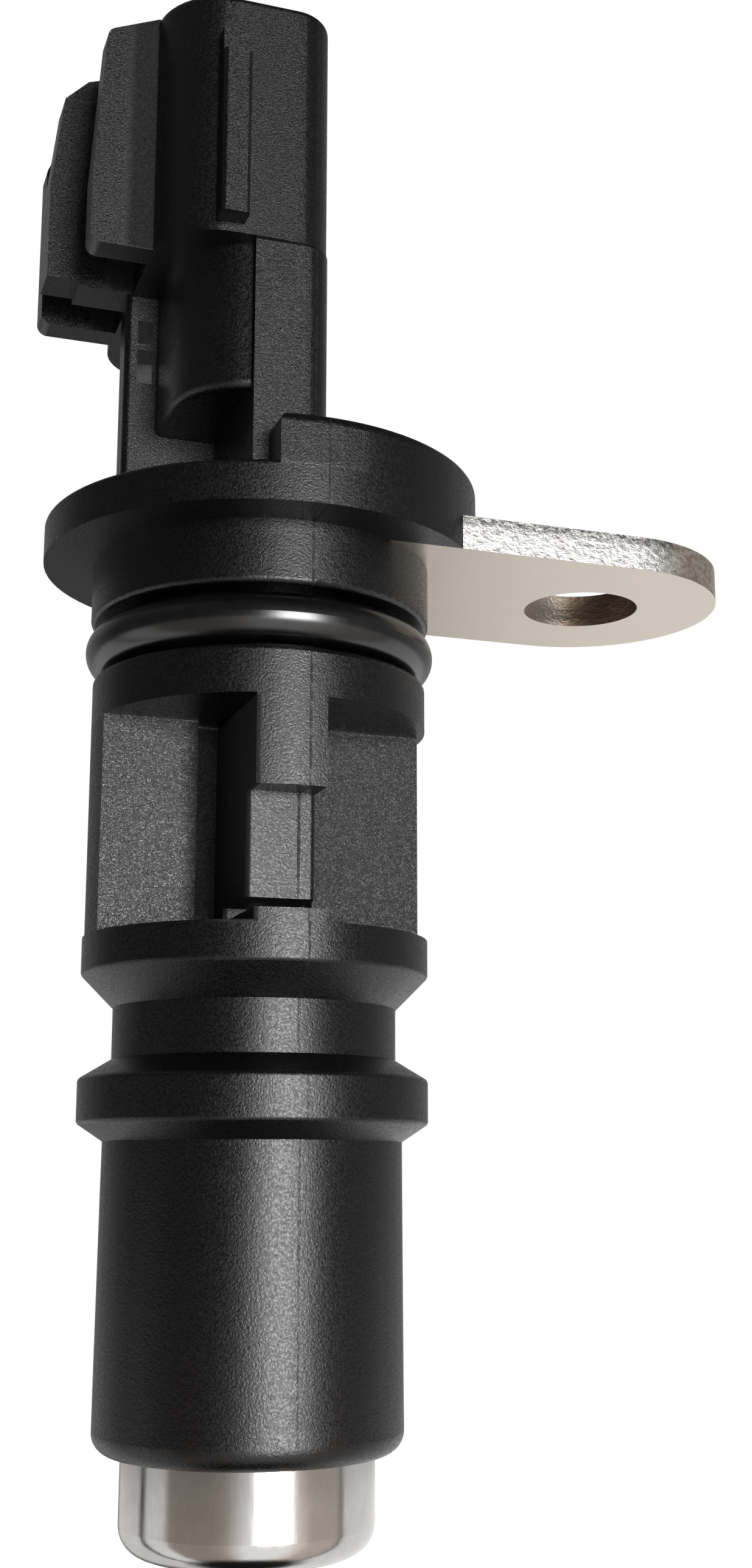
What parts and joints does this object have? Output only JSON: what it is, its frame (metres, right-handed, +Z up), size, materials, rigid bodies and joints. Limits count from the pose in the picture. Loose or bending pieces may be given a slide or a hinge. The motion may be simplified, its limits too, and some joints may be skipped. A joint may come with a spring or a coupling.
{
  "type": "camshaft position sensor",
  "caption": "Engine sensor with a black moulded body, steel tip cap, seal ring, side bracket with a bolt hole, and a latched oblong connector on top.",
  "frame": {"origin": "on the barrel's axis, in the plane where the flange and the bracket sit on the engine", "axes": "+Z up the barrel's axis towards the connector's mouth, +X along the bracket to its bolt hole"},
  "size_m": [0.0411, 0.0246, 0.082],
  "materials": {
    "moulding": "glass-filled nylon with a fine moulded grain",
    "bracket_steel": "bare steel sheet with a sheared edge",
    "seal_rubber": "smooth moulded rubber, slightly shiny",
    "cap_steel": "bright drawn stainless steel",
    "carrier": "moulded plastic, not in view",
    "chip": "epoxy package, not in view",
    "magnet": "sintered magnet, not in view",
    "pole_steel": "plain steel, not in view",
    "ceramic": "ceramic chip capacitor, not in view",
    "tinned_copper": "tinned lead, not in view",
    "tinned_brass": "tinned contact blade"
  },
  "bodies": {
    "root": {"housing": "moulding", "mounting_bracket": "bracket_steel", "o_ring": "seal_rubber", "tip_cap": "cap_steel", "chip_carrier": "carrier", "sensor_chip": "chip", "bias_magnet": "magnet", "pole_piece": "pole_steel", "terminal_1": "tinned_brass", "terminal_2": "tinned_brass", "terminal_3": "tinned_brass", "chip_lead_1": "tinned_copper", "chip_lead_2": "tinned_copper", "chip_lead_3": "tinned_copper", "capacitor_1": "ceramic", "capacitor_2": "ceramic"}
  },
  "joints": []
}
